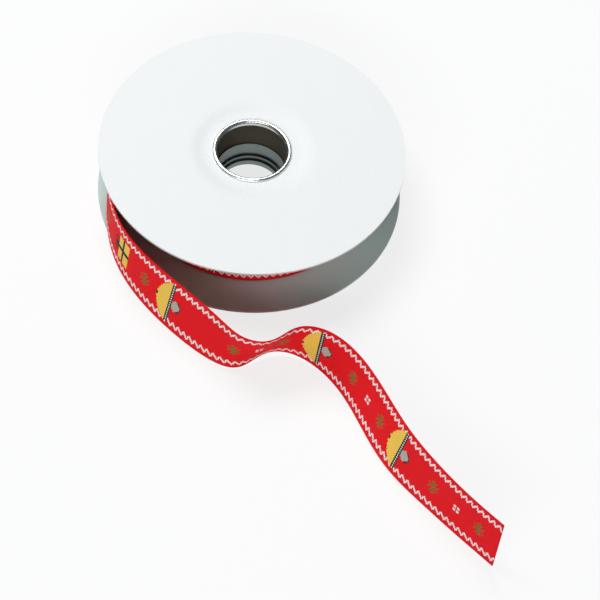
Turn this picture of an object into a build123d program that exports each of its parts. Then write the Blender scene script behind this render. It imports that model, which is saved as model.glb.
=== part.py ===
"""Ribbon spool: two white paperboard flanges on a wound paper core, clamped by a pair of
metal eyelets, with a full roll of woven ribbon between the flanges and its free end
pulled out over the table.

Millimetres. The origin is the centre of the hub, half way up the spool, and +Z runs along
the hub's axis. The spool lies on its lower flange, and the free end of the ribbon leaves
on the left (-X) and comes forward (-Y).
"""

import math
import os

from build123d import *

# ---- Driving sizes --------------------------------------------------------------------
flange_diameter = 114.3  # a 4 1/2 inch spool
ribbon_width = 22.0  # sold as 7/8 inch
ribbon_thickness = 0.4  # woven picture ribbon with floats on its back
board_thickness = 0.66  # grey board of each flange
paper_thickness = 0.12  # white paper glued to each side of the board
bore_diameter = 26.2  # inside the eyelets, for an arbor of one inch
roll_diameter = 87.0  # the wound ribbon when the spool is full

eyelet_sheet = 0.35  # tinned steel sheet of both eyelets
curl_radius = 0.9  # outside radius of the curled rim of an eyelet
upper_collar_length = 1.1  # the upper eyelet ends just inside the flange
lower_barrel_top = -1.0  # height of the lower eyelet's open upper end
step_depth = 0.8  # how far each of the two steps near the mouth narrows the barrel
step_heights = (-7.3, -9.2)  # the two ledges

core_wall = 2.5  # wound paper tube, with its liner
liner_thickness = 0.4  # innermost brown ply of the tube
dish_depth = 1.0  # the flange is pressed in round the hub, so that the curl sits flush
dish_floor_margin = 0.5  # flat floor of the dish, past the core
dish_slope_length = 7.5  # from the dish's floor to the flat of the flange

tape_thickness = 0.08  # sticky tape that holds the ribbon's first turn to the core
tape_height = 12.0
tape_length = 25.0

side_clearance = 0.3  # ribbon to flange, on each side
seat_clearance = 0.05  # glued and pressed fits round the hub
tail_clearance = 0.3  # outermost turn to the roll under it
tail_wrap_start = 2.0  # degrees: the tail's solid takes in part of the outermost turn
tail_wrap_end = 155.0  # where the free end lifts off the roll
tail_wrap_points = 10
section_pitch = 1 / 3  # stations between two sections of the tail's solid

# The free end of the ribbon after it has left the roll. It stands on its lower edge and
# winds over the table: x, y, height of its middle above the table, and its lean in
# degrees. At 0 it stands upright, and below 0 its upper edge leans back towards the spool.
tail_stations = [
    (-49.6, 5.0, 12.2, 0),
    (-52.8, -9.0, 12.2, -1),
    (-51.9, -23.8, 12.2, -2),
    (-46.4, -40.9, 12.3, -5),
    (-34.8, -55.5, 12.2, -12),
    (-21.5, -67.3, 12.0, -17),
    (-9.7, -77.1, 11.9, -14),
    (-0.4, -83.4, 11.6, -1),
    (7.2, -81.7, 11.4, 20),
    (13.6, -78.1, 12.1, 24),
    (21.2, -75.2, 12.3, 6),
    (31.9, -78.5, 11.6, -9),
    (42.0, -88.6, 11.3, -15),
    (49.9, -103.2, 11.5, -19),
    (58.1, -118.5, 11.8, -19),
    (69.7, -131.2, 11.6, -12),
    (81.8, -143.4, 11.7, -9),
    (94.0, -154.9, 12.8, -9),
]

# ---- Sizes worked out from them ---------------------------------------------------------
flange_radius = flange_diameter / 2
flange_thickness = board_thickness + 2 * paper_thickness
half_gap = ribbon_width / 2 + side_clearance
half_height = half_gap + flange_thickness
bore_radius = bore_diameter / 2
throat_radius = bore_radius - 2 * step_depth
hole_radius = bore_radius + eyelet_sheet + seat_clearance
core_radius = hole_radius + core_wall
liner_radius = hole_radius + liner_thickness
dish_floor_radius = core_radius + dish_floor_margin
dish_rim_radius = dish_floor_radius + dish_slope_length
tape_inner_radius = core_radius + seat_clearance / 2
roll_inner_radius = tape_inner_radius + tape_thickness + seat_clearance
roll_radius = roll_diameter / 2
tail_radius = roll_radius + tail_clearance + ribbon_thickness / 2
dished_face = half_height - dish_depth


def dished_line(z, inner_radius, outer_radius):
    """Half section of a flange surface: dish floor, two tangent arcs, then the flat."""
    floor = Line((inner_radius, z - dish_depth), (dish_floor_radius, z - dish_depth))
    middle = ((dish_floor_radius + dish_rim_radius) / 2, z - dish_depth / 2)
    rising = TangentArc(floor @ 1, middle, tangent=(1, 0))
    levelling = TangentArc((dish_rim_radius, z), middle, tangent=(-1, 0))
    flat = Line((dish_rim_radius, z), (outer_radius, z))
    return [floor, rising, levelling, flat]


def revolved(edges, arc=360.0):
    """Turns a closed outline in the (radius, height) plane about the hub's axis."""
    face = Plane.XZ * make_face(edges)
    return revolve(face, axis=Axis.Z, revolution_arc=arc)


def dished_layer(z_low, z_high, inner_radius, outer_radius):
    """One layer of the upper flange, between two parallel dished surfaces."""
    lower = dished_line(z_low, inner_radius, outer_radius)
    upper = dished_line(z_high, inner_radius, outer_radius)
    ends = [
        Line((inner_radius, z_low - dish_depth), (inner_radius, z_high - dish_depth)),
        Line((outer_radius, z_low), (outer_radius, z_high)),
    ]
    return revolved(lower + upper + ends)


def ring(inner_radius, outer_radius, z_low, z_high, arc=360.0):
    """Plain tube between two heights."""
    corners = [
        (inner_radius, z_low),
        (outer_radius, z_low),
        (outer_radius, z_high),
        (inner_radius, z_high),
    ]
    return revolved([Polyline(*corners, close=True)], arc)


def flange_layers():
    """Lining, board and facing of the upper flange, from the ribbon outwards."""
    lining_top = half_gap + paper_thickness
    board_top = lining_top + board_thickness
    layers = {
        "lining": (half_gap, lining_top),
        "board": (lining_top, board_top),
        "facing": (board_top, half_height),
    }
    return {
        name: dished_layer(low, high, hole_radius, flange_radius)
        for name, (low, high) in layers.items()
    }


def curl(mouth_radius):
    """Rim that rolls outwards over the dished face, as (radius, height) edges."""
    lip_centre = bore_radius + curl_radius
    brim = lip_centre - curl_radius - mouth_radius
    edges = []
    for radius in (curl_radius, curl_radius - eyelet_sheet):
        start = mouth_radius + curl_radius
        top = dished_face + radius
        edges.append(CenterArc((start, dished_face), radius, 90, 90))
        edges.append(CenterArc((lip_centre, dished_face), radius, 0, 90))
        if brim > 0:
            edges.append(Line((start, top), (lip_centre, top)))
    lip = lip_centre + curl_radius
    edges.append(Line((lip - eyelet_sheet, dished_face), (lip, dished_face)))
    return edges


def upper_eyelet():
    """Short collar in the core's mouth, under a curled rim that clamps the flange."""
    bottom = dished_face - upper_collar_length
    collar = Polyline(
        (bore_radius, dished_face),
        (bore_radius, bottom),
        (bore_radius + eyelet_sheet, bottom),
        (bore_radius + eyelet_sheet, dished_face),
    )
    return revolved([*curl(bore_radius), collar])


def lower_eyelet():
    """Long barrel, narrowed by two steps to a throat, with a flat brim and the same lip."""
    first, second = step_heights
    middle_radius = bore_radius - step_depth
    # Built upside down, with the curl on top, like the upper one.
    inside = [
        (throat_radius, dished_face),
        (throat_radius, -second),
        (middle_radius, -second),
        (middle_radius, -first),
        (bore_radius, -first),
        (bore_radius, -lower_barrel_top),
    ]
    outside = [
        (bore_radius + eyelet_sheet, -lower_barrel_top),
        (bore_radius + eyelet_sheet, -first + eyelet_sheet),
        (middle_radius + eyelet_sheet, -first + eyelet_sheet),
        (middle_radius + eyelet_sheet, -second + eyelet_sheet),
        (throat_radius + eyelet_sheet, -second + eyelet_sheet),
        (throat_radius + eyelet_sheet, dished_face),
    ]
    wall = Polyline(*inside, *outside)
    return revolved([*curl(throat_radius), wall]).mirror(Plane.XY)


def ribbon_roll():
    """The wound ribbon as one ring, its inner turns squeezed by the flanges' dishes."""
    edge = ribbon_width / 2
    upper = dished_line(edge, roll_inner_radius, roll_radius)
    lower = [line.mirror(Plane.XZ) for line in upper]
    ends = [
        Line((roll_inner_radius, dish_depth - edge), (roll_inner_radius, edge - dish_depth)),
        Line((roll_radius, -edge), (roll_radius, edge)),
    ]
    return revolved(upper + lower + ends)


def start_tape():
    """Piece of tape round part of the core, over the ribbon's inner end."""
    tape_arc = math.degrees(tape_length / tape_inner_radius)
    return ring(
        tape_inner_radius,
        tape_inner_radius + tape_thickness,
        -tape_height / 2,
        tape_height / 2,
        tape_arc,
    )


def smooth(points, u):
    """Point at u (in stations) on the uniform cubic B-spline of these control points."""
    first = [2 * a - b for a, b in zip(points[0], points[1])]
    last = [2 * a - b for a, b in zip(points[-1], points[-2])]
    padded = [first, *points, last]
    i = min(int(u), len(points) - 2)
    t = u - i
    weights = (
        (1 - t) ** 3,
        3 * t**3 - 6 * t**2 + 4,
        -3 * t**3 + 3 * t**2 + 3 * t + 1,
        t**3,
    )
    near = padded[i : i + 4]
    return [sum(w * p[k] for w, p in zip(weights, near)) / 6 for k in range(4)]


def tail_points():
    """Control points of the tail: part of the way round the roll, then the stations."""
    count = tail_wrap_points
    pitch = (tail_wrap_end - tail_wrap_start) / (count - 1)
    # A B-spline runs inside control points that lie on a circle, by this share.
    control_radius = tail_radius * 3 / (2 + math.cos(math.radians(pitch)))
    wrap = []
    for k in range(count):
        angle = math.radians(tail_wrap_start + k * pitch)
        wrap.append((control_radius * math.cos(angle), control_radius * math.sin(angle), 0, 0))
    return wrap + [(x, y, z - half_height, lean) for x, y, z, lean in tail_stations]


def tail_corners(points, u):
    """Four corners of the thin rectangle across the tail at u."""
    step = 0.01
    x, y, z, lean = smooth(points, u)
    ahead = Vector(*smooth(points, min(u + step, len(points) - 1))[:3])
    behind = Vector(*smooth(points, max(u - step, 0))[:3])
    along = (ahead - behind).normalized()
    up = (Vector(0, 0, 1) - along * along.Z).normalized()
    side = along.cross(up)
    angle = math.radians(lean)
    across = up * math.cos(angle) + side * math.sin(angle)
    out = along.cross(across) * (ribbon_thickness / 2)
    top = Vector(x, y, z) + across * (ribbon_width / 2)
    bottom = Vector(x, y, z) - across * (ribbon_width / 2)
    return top + out, top - out, bottom - out, bottom + out


def ribbon_tail():
    """Part of the outermost turn, then out between the flanges and over the table."""
    points = tail_points()
    last = len(points) - 1
    steps = round(last / section_pitch)
    sections = [tail_corners(points, last * k / steps) for k in range(steps + 1)]
    # One long curve along each corner, and a ruled face between each two of them.
    curves = [Edge.make_spline([s[k] for s in sections], parameters=range(steps + 1)) for k in range(4)]
    faces = [Face.make_surface_from_curves(curves[k], curves[(k + 1) % 4]) for k in range(4)]
    for corners in (sections[0], sections[-1]):
        faces.append(Face(Wire.make_polygon(corners, close=True)))
    return Solid(Shell(faces))


def all_nodes():
    """Every separate piece, by name."""
    nodes = {}
    for name, layer in flange_layers().items():
        nodes[f"upper_flange_{name}"] = layer
        nodes[f"lower_flange_{name}"] = layer.mirror(Plane.XY)
    core_half = half_gap - dish_depth
    nodes["core_liner"] = ring(hole_radius, liner_radius, -core_half, core_half)
    nodes["core_tube"] = ring(liner_radius, core_radius, -core_half, core_half)
    nodes["upper_eyelet"] = upper_eyelet()
    nodes["lower_eyelet"] = lower_eyelet()
    nodes["start_tape"] = start_tape()
    nodes["ribbon_roll"] = ribbon_roll()
    nodes["ribbon_tail"] = ribbon_tail()
    return nodes


os.makedirs("parts", exist_ok=True)
for node_name, shape in all_nodes().items():
    export_step(shape, f"parts/{node_name}.step")
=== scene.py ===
import math
import random

import bpy
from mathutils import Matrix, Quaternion, Vector


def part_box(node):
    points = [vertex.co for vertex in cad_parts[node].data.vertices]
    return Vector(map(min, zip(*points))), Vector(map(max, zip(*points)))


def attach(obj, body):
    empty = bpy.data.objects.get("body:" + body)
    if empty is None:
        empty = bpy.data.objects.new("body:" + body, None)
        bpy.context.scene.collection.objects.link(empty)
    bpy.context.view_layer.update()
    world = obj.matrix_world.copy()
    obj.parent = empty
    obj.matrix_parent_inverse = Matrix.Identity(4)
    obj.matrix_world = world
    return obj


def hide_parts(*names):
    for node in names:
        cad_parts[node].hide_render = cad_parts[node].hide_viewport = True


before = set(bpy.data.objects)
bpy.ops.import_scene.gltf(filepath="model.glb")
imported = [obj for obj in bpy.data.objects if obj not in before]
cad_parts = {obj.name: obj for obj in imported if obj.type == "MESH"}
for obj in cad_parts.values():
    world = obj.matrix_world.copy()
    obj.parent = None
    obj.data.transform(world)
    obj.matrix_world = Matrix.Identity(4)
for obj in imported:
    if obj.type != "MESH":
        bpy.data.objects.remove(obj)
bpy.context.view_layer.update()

# ---- Camera -------------------------------------------------------------------------------
# A long lens from the front and well above, tilted a little, so that the spool sits upper
# left and the ribbon's free end runs to the lower right.
eye = Vector((0.0, -0.6042, 0.7669))
aim = Vector((0.0214, -0.0582, 0.0))
lens = bpy.data.cameras.new("view_lens")
lens.lens = 156.0
lens.sensor_width = 36.0
lens.clip_start = 0.05
lens.clip_end = 20.0
camera = bpy.data.objects.new("view", lens)
bpy.context.scene.collection.objects.link(camera)
level = (aim - eye).to_track_quat("-Z", "Y")
tilt = Quaternion((0.0, 0.0, 1.0), math.radians(6.23))
camera.rotation_mode = "QUATERNION"
camera.rotation_quaternion = level @ tilt
camera.location = eye
bpy.context.scene.camera = camera

# ---- Table and light ----------------------------------------------------------------------
# A white sweep of matt paper under a big soft lamp from the back left, with a low fill in
# front and a dim room around.


class Val:
    """A node socket that arithmetic can be written with."""

    def __init__(self, tree, socket):
        self.tree = tree
        self.socket = socket

    def is_vector(self):
        return self.socket.type in ("VECTOR", "RGBA")

    def math(self, operation, *others, swap=False):
        vector = self.is_vector() or any(isinstance(o, Val) and o.is_vector() for o in others)
        node = self.tree.nodes.new("ShaderNodeVectorMath" if vector else "ShaderNodeMath")
        node.operation = operation
        values = [self, *others]
        if swap:
            values.reverse()
        for slot, value in zip(node.inputs, values):
            if isinstance(value, Val):
                self.tree.links.new(value.socket, slot)
            elif vector and not hasattr(value, "__len__"):
                slot.default_value = (value, value, value)
            else:
                slot.default_value = value
        return Val(self.tree, node.outputs[0])

    def __add__(self, other):
        return self.math("ADD", other)

    def __radd__(self, other):
        return self.math("ADD", other, swap=True)

    def __sub__(self, other):
        return self.math("SUBTRACT", other)

    def __rsub__(self, other):
        return self.math("SUBTRACT", other, swap=True)

    def __mul__(self, other):
        return self.math("MULTIPLY", other)

    def __truediv__(self, other):
        return self.math("DIVIDE", other)

    def clamped(self):
        return self.math("MAXIMUM", 0.0).math("MINIMUM", 1.0)

    def part(self, letter):
        node = self.tree.nodes.new("ShaderNodeSeparateXYZ")
        self.tree.links.new(self.socket, node.inputs[0])
        return Val(self.tree, node.outputs["XYZ".index(letter)])


class Finish:
    """A material with its surface shader, and one way to add any other node."""

    def __init__(self, name, **constants):
        self.material = bpy.data.materials.new(name)
        self.material.use_nodes = True
        self.tree = self.material.node_tree
        self.surface = self.tree.nodes["Principled BSDF"]
        for key, value in constants.items():
            self.surface.inputs[key.replace("_", " ")].default_value = value

    def node(self, kind, output=0, settings=None, **inputs):
        node = self.tree.nodes.new("ShaderNode" + kind)
        for key, value in (settings or {}).items():
            setattr(node, key, value)
        for key, value in inputs.items():
            slot = node.inputs[key.replace("_", " ")]
            if isinstance(value, Val):
                self.tree.links.new(value.socket, slot)
            else:
                slot.default_value = value
        return Val(self.tree, node.outputs[output])

    def mix(self, factor, first, second):
        node = self.tree.nodes.new("ShaderNodeMix")
        node.data_type = "RGBA"
        for slot, value in ((0, factor), (6, first), (7, second)):
            if isinstance(value, Val):
                self.tree.links.new(value.socket, node.inputs[slot])
            else:
                node.inputs[slot].default_value = value
        return Val(self.tree, node.outputs[2])

    def noise(self, where, scale, detail=2.0, roughness=0.5):
        return self.node("TexNoise", Vector=where, Scale=scale, Detail=detail, Roughness=roughness)

    def place(self):
        return self.node("TexCoord", output="Object")

    def bump(self, height, distance, strength=1.0):
        bumped = self.node("Bump", Height=height, Distance=distance, Strength=strength)
        self.tree.links.new(bumped.socket, self.surface.inputs["Normal"])

    def feed(self, **inputs):
        for key, value in inputs.items():
            self.tree.links.new(value.socket, self.surface.inputs[key.replace("_", " ")])


def grid_mesh(name, points, faces):
    mesh = bpy.data.meshes.new(name)
    mesh.from_pydata(points, [], faces)
    mesh.polygons.foreach_set("use_smooth", [True] * len(mesh.polygons))
    mesh.update()
    piece = bpy.data.objects.new(name, mesh)
    bpy.context.scene.collection.objects.link(piece)
    return piece


# The table is a hair under the flange, so that the two faces don't lie in one plane.
table_gap = 0.00002
table_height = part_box("lower_flange_facing")[0][2] - table_gap
half_table = 3.0
table = grid_mesh(
    "table",
    [
        (x * half_table, y * half_table, table_height)
        for x, y in ((-1, -1), (1, -1), (1, 1), (-1, 1))
    ],
    [(0, 1, 2, 3)],
)
paper_sweep = Finish("table_paper", Roughness=0.9, Base_Color=(0.93, 0.935, 0.935, 1.0))
paper_sweep.surface.inputs["Specular IOR Level"].default_value = 0.1
# Towards the camera, and in the metal's reflections, the sweep glows most of the way to
# white and keeps the rest for the shadows that fall on it.
seen = paper_sweep.node("LightPath", output="Is Camera Ray")
mirrored = paper_sweep.node("LightPath", output="Is Glossy Ray")
through = paper_sweep.node("LightPath", output="Is Transmission Ray")
looked_at = seen.math("MAXIMUM", mirrored).math("MAXIMUM", through)
glow_share = 0.78
glow = paper_sweep.node("Emission", Color=(0.985, 0.99, 0.99, 1.0), Strength=1.0)
sweep_mix = paper_sweep.tree.nodes.new("ShaderNodeMixShader")
paper_sweep.tree.links.new((looked_at * glow_share).socket, sweep_mix.inputs[0])
paper_sweep.tree.links.new(paper_sweep.surface.outputs[0], sweep_mix.inputs[1])
paper_sweep.tree.links.new(glow.socket, sweep_mix.inputs[2])
paper_sweep.tree.links.new(
    sweep_mix.outputs[0], paper_sweep.tree.nodes["Material Output"].inputs["Surface"]
)
table.data.materials.append(paper_sweep.material)


def softbox(name, azimuth, elevation, distance, width, height, watts):
    lamp = bpy.data.lights.new(name, "AREA")
    lamp.shape = "RECTANGLE"
    lamp.size = width
    lamp.size_y = height
    lamp.energy = watts
    holder = bpy.data.objects.new(name, lamp)
    bpy.context.scene.collection.objects.link(holder)
    out = Quaternion((1.0, 0.0, 0.0), math.radians(elevation - 90.0)) @ Vector((0.0, 0.0, 1.0))
    out = Quaternion((0.0, 0.0, 1.0), math.radians(azimuth)) @ out
    holder.location = out * distance
    holder.rotation_mode = "QUATERNION"
    holder.rotation_quaternion = (-holder.location).to_track_quat("-Z", "Y")


softbox("key_back_left", 32.0, 58.0, 1.9, 1.3, 0.9, 31.0)
softbox("fill_front", 172.0, 30.0, 2.0, 1.8, 0.4, 18.0)

room = bpy.data.worlds.new("room")
room.use_nodes = True
room.node_tree.nodes["Background"].inputs["Color"].default_value = (0.95, 0.98, 1.0, 1.0)
room.node_tree.nodes["Background"].inputs["Strength"].default_value = 0.13
bpy.context.scene.world = room
bpy.context.scene.view_settings.view_transform = "Standard"

# ---- Flange faces -------------------------------------------------------------------------
# Smooth white paper glued over the outer side of each board. It has a faint felt mark, and
# it is a little uneven where the glue under it dried.
white_paper = Finish("white_paper", Roughness=0.62)
white_paper.surface.inputs["Specular IOR Level"].default_value = 0.35
here = white_paper.place()
felt = white_paper.noise(here, 2600.0, 3.0, 0.6)
waves = white_paper.noise(here * (1.0, 1.0, 0.0), 55.0, 2.0)
fibres = white_paper.noise(here * (1.0, 0.28, 1.0), 4200.0, 1.0)
tone = white_paper.mix(
    (felt * 0.6 + waves * 0.4).clamped(), (0.85, 0.885, 0.885, 1.0), (0.90, 0.925, 0.925, 1.0)
)
white_paper.feed(Base_Color=tone, Roughness=0.5 + felt * 0.25)
white_paper.bump(felt * 0.6 + fibres * 0.5 + waves * 1.5, 0.00012, 1.0)

# ---- Flange boards ------------------------------------------------------------------------
# Grey-white pulp board with its layers showing at the die-cut edge.
pulp = Finish("pulp_board", Roughness=0.85)
here = pulp.place()
layers = pulp.noise(here * (1.0, 1.0, 14.0), 900.0, 3.0, 0.65)
flecks = pulp.noise(here, 2200.0, 2.0)
tone = pulp.mix(layers, (0.62, 0.63, 0.61, 1.0), (0.86, 0.87, 0.85, 1.0))
tone = pulp.mix((flecks * 0.5).clamped(), tone, (0.70, 0.70, 0.67, 1.0))
pulp.feed(Base_Color=tone)
pulp.bump(layers + flecks * 0.5, 0.00006)

# ---- Flange linings -----------------------------------------------------------------------
# A paper on the inner side of each board, where the ribbon runs. It is rougher than the facing,
# and shows between the flanges in front of the wound roll. Its grey-green colour is partly a
# cool tint of the paper and mostly painted shade of the gap between the flanges.
lining_paper_painted_shading = Finish("lining_paper_painted_shading", Roughness=0.75)
here = lining_paper_painted_shading.place()
felt = lining_paper_painted_shading.noise(here, 2300.0, 3.0, 0.6)
# Painted shade: both lining colours are darkened and tinted for the shaded gap between the
# flanges.
tone = lining_paper_painted_shading.mix(felt, (0.47, 0.635, 0.62, 1.0), (0.53, 0.70, 0.68, 1.0))
lining_paper_painted_shading.feed(Base_Color=tone)
lining_paper_painted_shading.bump(felt, 0.0001)

for level_name in ("upper", "lower"):
    for layer_name, finish in (("facing", white_paper), ("lining", lining_paper_painted_shading), ("board", pulp)):
        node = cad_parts[f"{level_name}_flange_{layer_name}"]
        node.material_slots[0].material = finish.material

# ---- Eyelets ------------------------------------------------------------------------------
# Tinned sheet, drawn into a barrel and curled over. The draw leaves fine lines round the
# axis. The upper one is burnished bright. The lower one is a little duller and painted far
# darker than tin, as painted shade on its barrel deep in the bore.


def drawn_sheet(name, dark, bright, smooth):
    tinned = Finish(name, Metallic=1.0)
    here = tinned.place()
    x = here.part("X")
    y = here.part("Y")
    around = y.math("ARCTAN2", x)
    radius = (x * x + y * y).math("SQRT", 0.0)
    lathe = tinned.node("CombineXYZ", X=around * 0.0006, Y=radius, Z=here.part("Z"))
    rings = tinned.noise(lathe, 5200.0, 2.0, 0.6)
    smudges = tinned.noise(here, 160.0, 3.0)
    tinned.feed(
        Base_Color=tinned.mix(smudges, dark, bright),
        Roughness=smooth + rings * 0.16 + smudges * 0.1,
    )
    tinned.bump(rings, 0.00002, 0.5)
    return tinned.material


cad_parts["upper_eyelet"].material_slots[0].material = drawn_sheet(
    "burnished_tin", (0.70, 0.74, 0.73, 1.0), (0.86, 0.89, 0.88, 1.0), 0.14
)
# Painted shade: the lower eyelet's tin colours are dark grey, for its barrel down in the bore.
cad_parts["lower_eyelet"].material_slots[0].material = drawn_sheet(
    "tin_painted_shading", (0.17, 0.20, 0.19, 1.0), (0.28, 0.33, 0.32, 1.0), 0.3
)

# ---- Core ---------------------------------------------------------------------------------
# Brown tube wound from kraft plies on a slant, with one open seam that climbs round it.
# Its kraft is painted near black, far darker than kraft paper, as painted shade inside the bore.
kraft = Finish("core_kraft_painted_shading", Roughness=0.8)
here = kraft.place()
around = here.part("Y").math("ARCTAN2", here.part("X")) / (2.0 * math.pi)
climb = (around + here.part("Z") / 0.018).math("FRACT", 0.0)
seam = (1.0 - (climb * 26.0)).clamped()
speckle = kraft.noise(here, 1500.0, 3.0, 0.7)
streaks = kraft.noise(here * (1.0, 1.0, 6.0), 420.0, 2.0)
# Painted shade: both kraft colours are near black, for the shade inside the bore.
tone = kraft.mix(
    (speckle * 0.5 + streaks * 0.5).clamped(), (0.035, 0.032, 0.018, 1.0), (0.10, 0.085, 0.05, 1.0)
)
tone = kraft.mix(seam * 0.8, tone, (0.03, 0.022, 0.014, 1.0))
kraft.feed(Base_Color=tone)
kraft.bump(speckle * 0.6 + streaks - seam * 2.0, 0.00008)
for node_name in ("core_tube", "core_liner"):
    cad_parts[node_name].material_slots[0].material = kraft.material

# ---- Start tape ---------------------------------------------------------------------------
# Clear tape over the ribbon's inner end, seen by nobody until the spool is empty.
film = Finish("tape_film", Roughness=0.25)
here = film.place()
creases = film.noise(here * (1.0, 1.0, 0.2), 900.0, 2.0)
film.feed(Base_Color=film.mix(creases, (0.80, 0.74, 0.55, 1.0), (0.92, 0.89, 0.76, 1.0)))
film.bump(creases, 0.00003)
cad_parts["start_tape"].material_slots[0].material = film.material

# ---- Ribbon's woven picture ---------------------------------------------------------------
# Woven picture ribbon: red ground with a white zigzag along each edge, and green flakes,
# white dots, yellow bells and yellow parcels down the middle. One character is one woven
# point. Down the page is across the ribbon, and to the right is towards the free end.
ribbon_width = 0.022
rows_across = 40
point = ribbon_width / rows_across
zigzag = [
    "W....",
    "WW..W",
    ".W.WW",
    ".WWW.",
    "..W..",
]
flake = [
    "....G....",
    "..G.G.G..",
    "...GGG...",
    "G...G...G",
    ".G.GGG.G.",
    "..GG.GG..",
    ".G.GGG.G.",
    "G...G...G",
    "...GGG...",
    "..G.G.G..",
    "....G....",
]
dots = [
    "WW.WW",
    "WW.WW",
    ".....",
    "WW.WW",
    "WW.WW",
]
crown = (0, 1, 1, 1, 2, 2, 2, 3, 3, 4, 4, 5, 6, 7, 8, 9, 11)
lip = 12
clapper = [
    "sssssssK",
    "sssssssK",
    "ssssssK",
    ".ssssKK",
    "..ssKK",
]


def half_bell():
    """Rows of a bell from its middle out: a knob, a checked dome, a dark lip and a clapper."""
    rows = []
    for row, begin in enumerate(crown):
        dome = "".join("Yy"[(column + row) % 2] for column in range(begin, lip))
        if row < 2:
            dome = "K" * (2 - row) + dome[2 - row :]
        line = " " * begin + dome + ("KWK" if row % 2 == 0 else "KKK")
        rows.append(line + (clapper[row] if row < len(clapper) else ""))
    return rows


bell = half_bell()[:0:-1] + half_bell()
half_parcel = [
    "KKKKKKKKKKKKKKKKKK",
    "KKKKKKKKKKKKKKKKKK",
    ".KKKKyYyYyKKyYyYyY",
    "K..KKYyYyYKKYyYyYy",
    "K...KyYyYyKKyYyYyY",
    "KK.KKYyYyYKKYyYyYy",
    ".KKK.yYyYyKKyYyYyY",
    ".....YyYyYKKYyYyYy",
    ".....yYyYyKKyYyYyY",
    ".....YyYyYKKYyYyYy",
    ".....yYyYyKKyYyYyY",
]
parcel = half_parcel[:0:-1] + half_parcel
yarns = {
    ".": (0.90, 0.006, 0.013),
    "W": (0.94, 0.92, 0.90),
    "G": (0.10, 0.20, 0.04),
    "Y": (0.98, 0.59, 0.05),
    "y": (1.00, 0.72, 0.16),
    "K": (0.03, 0.035, 0.035),
    "s": (0.50, 0.48, 0.42),
}
zigzag_margin = 2
first_flake = 17
# From one flake to the next, and from one pair of flakes to the next pair.
spacings = ((41, 99), (37, 93), (34, 114), (57, 112))


def stamp(cloth, motif, column, row):
    """Weaves a motif into the cloth with its left top corner at this column and row."""
    for down, line in enumerate(motif):
        for along, letter in enumerate(line):
            if letter != " " and 0 <= column + along < len(cloth):
                cloth[column + along][row + down] = letter


def woven(columns):
    """Columns of woven points, the first column furthest from the free end's cut."""
    cloth = [["."] * rows_across for _ in range(columns)]
    for column in range(columns):
        for row, line in enumerate(zigzag):
            if line[column % len(line)] == "W":
                cloth[column][zigzag_margin + row] = "W"
                cloth[column][rows_across - 2 - zigzag_margin - row] = "W"
    middle = rows_across // 2
    start = columns - first_flake
    block = 0
    while start > -60:
        spread, length = spacings[block % 4]
        stamp(cloth, flake, start - 4, middle - 6)
        stamp(cloth, flake, start - spread - 4, middle - 6)
        if block % 4 < 3:
            stamp(cloth, dots, start - spread // 2 - 2, middle - 3)
        else:
            stamp(cloth, parcel, start - 37, middle - 11)
        stamp(cloth, bell, start - length + 12, middle - 17)
        start -= length
        block += 1
    return cloth


# ---- Ribbon ------------------------------------------------------------------------------
# The outermost turn and the free end are one strip of ribbon standing on its edge. It
# leaves the roll on the left, sways over the table and ends in a straight cut.
ribbon_thickness = 0.0004
wrap_radius = 0.044
wrap_start = 2.0
wrap_end = 155.0
wrap_points = 10
settled_depth = 0.00028
settled_angle = 80.0
stations = [
    (-49.6, 5.0, 12.2, 0),
    (-52.8, -9.0, 12.2, -1),
    (-51.9, -23.8, 12.2, -2),
    (-46.4, -40.9, 12.3, -5),
    (-34.8, -55.5, 12.2, -12),
    (-21.5, -67.3, 12.0, -17),
    (-9.7, -77.1, 11.9, -14),
    (-0.4, -83.4, 11.6, -1),
    (7.2, -81.7, 11.4, 20),
    (13.6, -78.1, 12.1, 24),
    (21.2, -75.2, 12.3, 6),
    (31.9, -78.5, 11.6, -9),
    (42.0, -88.6, 11.3, -15),
    (49.9, -103.2, 11.5, -19),
    (58.1, -118.5, 11.8, -19),
    (69.7, -131.2, 11.6, -12),
    (81.8, -143.4, 11.7, -9),
    (94.0, -154.9, 12.8, -9),
]


def route():
    """Control points of the strip's middle line with its lean, in metres and degrees."""
    pitch = (wrap_end - wrap_start) / (wrap_points - 1)
    control_radius = wrap_radius * 3 / (2 + math.cos(math.radians(pitch)))
    points = []
    for k in range(wrap_points):
        angle = math.radians(wrap_start + k * pitch)
        x = control_radius * math.cos(angle)
        points.append((x, control_radius * math.sin(angle), 0.0, 0.0))
    for x, y, z, lean in stations:
        points.append((x / 1000, y / 1000, z / 1000 + table_height, lean))
    return points


def on_route(points, u):
    """Point on the cubic B-spline through these control points, u counted in stations."""
    first = [2 * a - b for a, b in zip(points[0], points[1])]
    last = [2 * a - b for a, b in zip(points[-1], points[-2])]
    padded = [first, *points, last]
    i = min(int(u), len(points) - 2)
    t = u - i
    weights = ((1 - t) ** 3, 3 * t**3 - 6 * t**2 + 4, -3 * t**3 + 3 * t**2 + 3 * t + 1, t**3)
    return [sum(w * p[k] for w, p in zip(weights, padded[i : i + 4])) / 6 for k in range(4)]


def even_steps(points, step):
    """Values of u that lie one step apart along the ribbon, ending at its cut."""
    fine = 4000
    last = len(points) - 1
    us = [last * k / fine for k in range(fine + 1)]
    places = [Vector(on_route(points, u)[:3]) for u in us]
    run = [0.0]
    for a, b in zip(places, places[1:]):
        run.append(run[-1] + (b - a).length)
    count = int(run[-1] / step)
    offset = run[-1] - count * step
    steps = []
    k = 0
    for n in range(count + 1):
        want = min(offset + n * step, run[-1])
        while k < fine - 1 and run[k + 1] < want:
            k += 1
        share = (want - run[k]) / max(run[k + 1] - run[k], 1e-9)
        steps.append(us[k] + (us[k + 1] - us[k]) * min(share, 1.0))
    return steps


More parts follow.
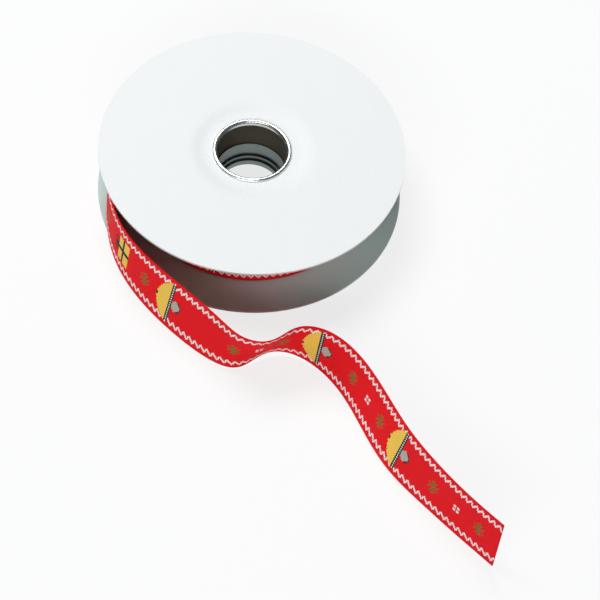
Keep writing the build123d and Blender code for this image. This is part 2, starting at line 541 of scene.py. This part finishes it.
def strip_section(points, u):
    """Middle, across direction and printed side's normal of the strip at u."""
    x, y, z, lean = on_route(points, u)
    last = len(points) - 1
    ahead = Vector(on_route(points, min(u + 0.02, last))[:3])
    behind = Vector(on_route(points, max(u - 0.02, 0.0))[:3])
    along = (ahead - behind).normalized()
    up = (Vector((0, 0, 1)) - along * along.z).normalized()
    side = along.cross(up)
    angle = math.radians(lean)
    across = up * math.cos(angle) + side * math.sin(angle)
    return Vector((x, y, z)), across, along.cross(across)


def free_end_sections():
    """Sections one woven point apart. The strip starts flat on the roll and works clear of it."""
    points = route()
    sections = []
    for u in even_steps(points, point):
        middle, across, out = strip_section(points, u)
        angle = math.degrees(math.atan2(middle.y, middle.x))
        if u < wrap_points - 1 and angle < settled_angle:
            share = max(angle, 0.0) / settled_angle
            settle = settled_depth * (1 - math.sin(math.radians(share * 90.0)))
            middle -= Vector((middle.x, middle.y, 0.0)).normalized() * settle
        sections.append((middle, across, out))
    return sections


def build_strip(name, sections, cloth):
    """Closed strip of ribbon through these sections, coloured point by point from the cloth."""
    last = len(cloth) - 1
    half = ribbon_thickness / 2
    # Front rows run from the upper edge down, back rows from the lower edge up.
    rows = [(0.5 - k / rows_across, half) for k in range(rows_across + 1)]
    rows[0] = (0.5, half * 0.7)
    rows[-1] = (-0.5, half * 0.7)
    ring = rows + [(a, -h) for a, h in reversed(rows)]
    vertices = []
    for middle, across, out in sections:
        for a, h in ring:
            vertices.append(middle + across * (a * ribbon_width) + out * h)
    n = len(ring)
    faces = []
    colours = []
    marks = []
    for k in range(len(sections) - 1):
        for j in range(n):
            a = k * n + j
            b = k * n + (j + 1) % n
            faces.append((a, b, b + n, a + n))
            colour = yarns["."]
            if j < rows_across:
                colour = yarns[cloth[k][j]]
            elif rows_across < j < 2 * rows_across + 1:
                # Behind a motif the coloured yarns float across a few points.
                for d in (-3, -1, 0, 1, 3):
                    letter = cloth[min(max(k + d, 0), last)][2 * rows_across - j]
                    if letter != ".":
                        colour = tuple(0.72 * c + 0.28 * y for c, y in zip(colour, yarns[letter]))
            colours.append(colour)
            marks.append((k, j))
    faces.append(tuple(range(n - 1, -1, -1)))
    faces.append(tuple(range((len(sections) - 1) * n, len(sections) * n)))
    colours += [yarns["."], yarns["."]]
    marks += [(0, 0), (0, 0)]
    piece = grid_mesh(name, vertices, faces)
    thread = piece.data.color_attributes.new("thread", "FLOAT_COLOR", "CORNER")
    weave = piece.data.uv_layers.new(name="weave")
    for polygon, colour, (k, j) in zip(piece.data.polygons, colours, marks):
        corners = ((k, j), (k, j + 1), (k + 1, j + 1), (k + 1, j))
        for order, loop in enumerate(polygon.loop_indices):
            thread.data[loop].color = (*colour, 1.0)
            weave.data[loop].uv = corners[order % 4]
    return piece


satin = Finish("woven_ribbon")
satin.surface.inputs["Specular IOR Level"].default_value = 0.12
thread_colour = satin.node("Attribute", output="Color", settings={"attribute_name": "thread"})
uv = satin.node("UVMap", settings={"uv_map": "weave"})
along_u = uv.part("X")
across_v = uv.part("Y")
warp = (across_v * (4.0 * math.pi)).math("SINE", 0.0) * 0.5 + 0.5
weft = (along_u * (4.0 * math.pi)).math("SINE", 0.0) * 0.5 + 0.5
stitch_u = (along_u.math("FRACT", 0.0) - 0.5).math("ABSOLUTE", 0.0)
stitch_v = (across_v.math("FRACT", 0.0) - 0.5).math("ABSOLUTE", 0.0)
edge = stitch_u.math("MAXIMUM", stitch_v) * 2.0
edge = edge * edge * edge * edge
slub = satin.noise(uv * (0.35, 3.0, 0.0), 1.6, 3.0, 0.6)
# Painted shade and highlight: each woven point darkens towards its border, where the points meet,
# and lightens a little on the weft's crests; the slub noise is the yarn's own uneven tone.
slub_and_painted_shading = 0.86 + slub * 0.2 - edge * 0.14 + weft * 0.05
satin.feed(Base_Color=thread_colour * slub_and_painted_shading, Roughness=0.58 + slub * 0.2)
satin.bump(warp * 0.35 + weft * 0.5 - edge * 0.8 + slub * 0.3, 0.00009, 0.8)

free_end = free_end_sections()
whole_cloth = woven(len(free_end) + 600)
strip = build_strip("ribbon_free_end", free_end, whole_cloth[-(len(free_end) - 1) :])
strip.data.materials.append(satin.material)
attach(strip, "free_end")
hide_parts("ribbon_tail")

# ---- Wound roll ---------------------------------------------------------------------------
# Some fifty-five turns of the same ribbon. The last of them shows its woven side all round,
# and the selvedges make fine rings on both sides, no turn exactly level with the next.
random.seed(7)
roll_inner = 0.01616
roll_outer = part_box("ribbon_roll")[1][0]
turns = 55
turn_pitch = (roll_outer - roll_inner) / turns
dish_floor = 0.0165
dish_rim = 0.024
dish_depth = 0.001


def roll_half_height(radius):
    """Half the roll's height at a radius: the flanges' dishes squeeze the inner turns."""
    share = min(max((radius - dish_floor) / (dish_rim - dish_floor), 0.0), 1.0)
    share = share * share * (3 - 2 * share)
    return ribbon_width / 2 - dish_depth * (1 - share)


profile = []
for turn in range(turns - 1):
    inner = roll_inner + turn * turn_pitch
    sink = random.uniform(0.00002, 0.00022)
    for share, drop in ((0.04, 0.00016), (0.25, 0.0), (0.7, 0.0), (0.92, 0.00016)):
        radius = inner + share * turn_pitch
        profile.append((radius, roll_half_height(radius) - sink - drop))
profile.append((roll_outer - ribbon_thickness - 0.00003, ribbon_width / 2 - 0.0003))
outline = profile + [(radius, -height) for radius, height in reversed(profile)]
segments = 160
vertices = []
for k in range(segments):
    angle = 2 * math.pi * k / segments
    for radius, height in outline:
        vertices.append((radius * math.cos(angle), radius * math.sin(angle), height))
n = len(outline)
faces = []
for k in range(segments):
    following = (k + 1) % segments
    for j in range(n):
        i = (j + 1) % n
        faces.append((k * n + j, following * n + j, following * n + i, k * n + i))
roll = grid_mesh("ribbon_turns", vertices, faces)
thread = roll.data.color_attributes.new("thread", "FLOAT_COLOR", "CORNER")
weave = roll.data.uv_layers.new(name="weave")
for polygon in roll.data.polygons:
    for loop in polygon.loop_indices:
        where = roll.data.vertices[roll.data.loops[loop].vertex_index].co
        turned = math.atan2(where.y, where.x) * roll_outer / point
        weave.data[loop].uv = (turned, (where.z + where.xy.length) / point)
        thread.data[loop].color = (0.70, 0.011, 0.018, 1.0)
roll.data.materials.append(satin.material)

last_radius = roll_outer - ribbon_thickness / 2
turn_points = int(2 * math.pi * last_radius / point)
last_turn = []
for k in range(turn_points + 1):
    angle = 2 * math.pi * k / turn_points + math.radians(wrap_start)
    out = Vector((math.cos(angle), math.sin(angle), 0.0))
    last_turn.append((out * last_radius, Vector((0.0, 0.0, 1.0)), out))
before = len(whole_cloth) - len(free_end) + 1
last_turn_strip = build_strip(
    "ribbon_last_turn", last_turn, whole_cloth[before - turn_points : before]
)
last_turn_strip.data.materials.append(satin.material)
for piece in (roll, last_turn_strip):
    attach(piece, "spool")
    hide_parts("ribbon_roll")
